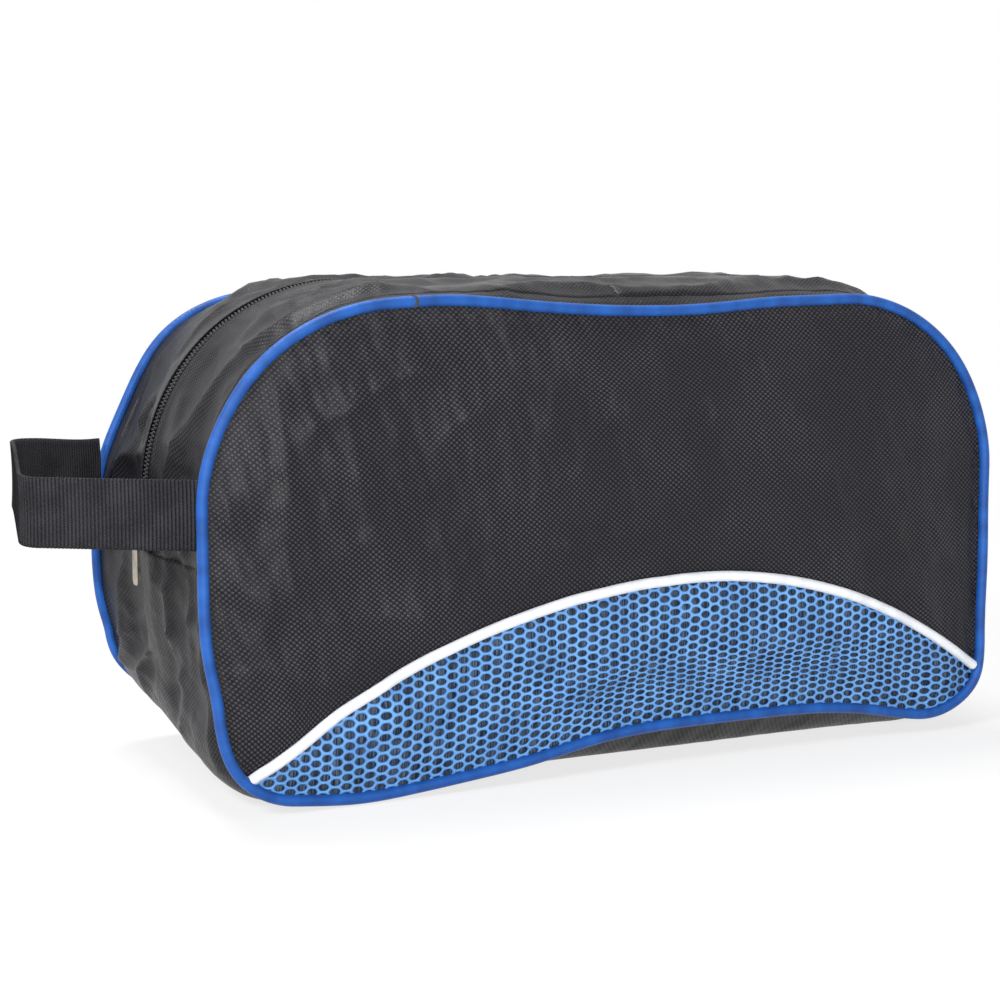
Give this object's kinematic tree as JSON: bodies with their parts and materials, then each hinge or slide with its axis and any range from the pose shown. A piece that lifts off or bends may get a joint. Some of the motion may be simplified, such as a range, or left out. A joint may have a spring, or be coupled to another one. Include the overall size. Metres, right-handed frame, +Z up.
{
  "type": "shoe bag",
  "caption": "Zipped nylon shoe bag with rounded top corners, piped edges, an arched mesh window at the front and a webbing grab handle at one end.",
  "frame": {"origin": "on the floor under the middle of the base", "axes": "+X along the bag's length with the handle at the -X end, -Y out of the side with the mesh window, +Z up"},
  "size_m": [0.4228, 0.154, 0.2064],
  "materials": {
    "panel_nylon": "satin",
    "gusset_nylon": "satin",
    "blue_piping": "satin",
    "white_piping": "satin",
    "blue_mesh": "matte",
    "grey_lining": "matte",
    "zip_tape": "matte",
    "zip_coil": "satin",
    "zip_metal": "polished",
    "webbing": "matte",
    "binding_tape": "matte",
    "filler_cord": "matte"
  },
  "bodies": {
    "shell": {"front_panel": "panel_nylon", "mesh_panel": "blue_mesh", "mesh_lining": "grey_lining", "arch_piping": "white_piping", "arch_piping_cord": "filler_cord", "back_panel": "panel_nylon", "front_piping": "blue_piping", "front_piping_cord": "filler_cord", "front_seam_binding": "binding_tape", "back_piping": "blue_piping", "back_piping_cord": "filler_cord", "back_seam_binding": "binding_tape", "base_gusset": "gusset_nylon", "front_zip_gusset": "gusset_nylon", "back_zip_gusset": "gusset_nylon", "handle_front_tab": "webbing", "handle_rear_tab": "webbing", "front_zip_tape_left": "zip_tape", "front_zip_tape_right": "zip_tape", "front_zip_coil_left": "zip_coil", "front_zip_coil_right": "zip_coil", "back_zip_tape_left": "zip_tape", "back_zip_tape_right": "zip_tape", "back_zip_coil_left": "zip_coil", "back_zip_coil_right": "zip_coil"},
    "slider": {"slider_body": "zip_metal"},
    "pull": {"pull_tab": "zip_metal"},
    "handle": {"handle_loop": "webbing"},
    "front_flap": {"front_mouth_flap": "gusset_nylon", "front_zip_tape_top": "zip_tape", "front_zip_coil_top": "zip_coil"},
    "back_flap": {"back_mouth_flap": "gusset_nylon", "back_zip_tape_top": "zip_tape", "back_zip_coil_top": "zip_coil"}
  },
  "joints": [
    {"name": "slider_travel", "type": "hinge", "parent": "shell", "child": "slider", "pos_m": [-0.098, 0, 0.118], "axis": [0, 1, 0], "range_deg": [0, 75]},
    {"name": "pull_swing", "type": "hinge", "parent": "slider", "child": "pull", "pos_m": [-0.189, 0, 0.118], "axis": [0, 1, 0], "range_deg": [0, 170]},
    {"name": "handle_swing", "type": "hinge", "parent": "shell", "child": "handle", "pos_m": [-0.1989, 0, 0.12], "axis": [0, 1, 0], "range_deg": [-60, 60]},
    {"name": "front_flap_open", "type": "hinge", "parent": "shell", "child": "front_flap", "pos_m": [0, -0.0632, 0.1965], "axis": [1, 0, 0], "range_deg": [0, 110]},
    {"name": "back_flap_open", "type": "hinge", "parent": "shell", "child": "back_flap", "pos_m": [0, 0.0632, 0.1965], "axis": [-1, 0, 0], "range_deg": [0, 110]}
  ]
}
